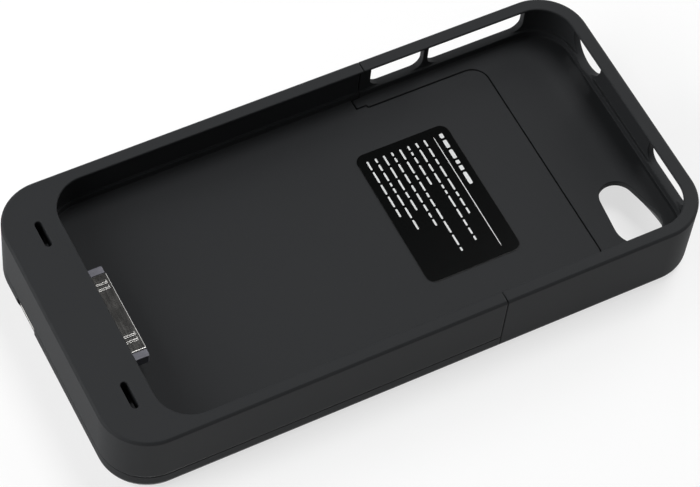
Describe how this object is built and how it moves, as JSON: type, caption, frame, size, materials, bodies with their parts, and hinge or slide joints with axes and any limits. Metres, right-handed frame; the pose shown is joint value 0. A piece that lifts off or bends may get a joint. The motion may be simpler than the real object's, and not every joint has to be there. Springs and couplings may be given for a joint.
{
  "type": "battery charging case",
  "caption": "Two-piece slide-on battery case for a phone: tray body with dock plug, pouch cell and charging socket, and a slide-off cap with camera hole and side cut-outs.",
  "frame": {"origin": "middle of the flat back, under the centre of the outer box", "axes": "+X to the right seen from the screen side, +Y towards the camera end, +Z out of the phone's screen"},
  "size_m": [0.0618, 0.1264, 0.017],
  "materials": {
    "soft_black": "soft-touch matte black coating",
    "button_black": "fine matte black",
    "label_black": "glossy black film",
    "plug_steel": "bright plated steel",
    "plug_plastic": "grey moulded plastic",
    "contact_gold": "gold plated",
    "board_green": "green solder mask",
    "screw_steel": "zinc plated",
    "socket_black": "black moulded plastic",
    "cell_foil": "laminated foil pouch",
    "tape_white": "white",
    "lead_red": "red insulation",
    "lead_black": "black insulation",
    "ferrite_grey": "sintered ferrite",
    "chip_black": "moulded epoxy",
    "capacitor_tan": "ceramic",
    "lamp_white": "translucent white",
    "guide_clear": "clear moulded plastic"
  },
  "bodies": {
    "pack": {"front_tray": "soft_black", "back_cover": "soft_black", "rating_label": "label_black", "dock_plug_shell": "plug_steel", "dock_plug_insulator": "plug_plastic", "dock_plug_contacts": "contact_gold", "dock_board": "board_green", "main_board": "board_green", "board_screws": "screw_steel", "usb_socket_shell": "plug_steel", "usb_socket_insulator": "socket_black", "usb_socket_contacts": "contact_gold", "battery_cell": "cell_foil", "cell_tape": "tape_white", "protection_board": "board_green", "lead_red": "lead_red", "lead_black": "lead_black", "power_inductor": "ferrite_grey", "charger_chip": "chip_black", "boost_chip": "chip_black", "board_capacitors": "capacitor_tan", "board_resistors": "chip_black", "indicator_leds": "lamp_white", "light_guide": "guide_clear", "tact_switch": "socket_black"},
    "cap": {"slide_cap": "soft_black"},
    "power_button": {"power_button": "button_black", "switch_plunger": "tape_white"}
  },
  "joints": [
    {"name": "cap_slide", "type": "slide", "parent": "pack", "child": "cap", "axis": [0, 1, 0], "range_m": [0, 0.026]},
    {"name": "button_press", "type": "slide", "parent": "pack", "child": "power_button", "axis": [0, 0, 1], "range_m": [0, 0.0003], "stiffness_N_per_m": 1500}
  ]
}
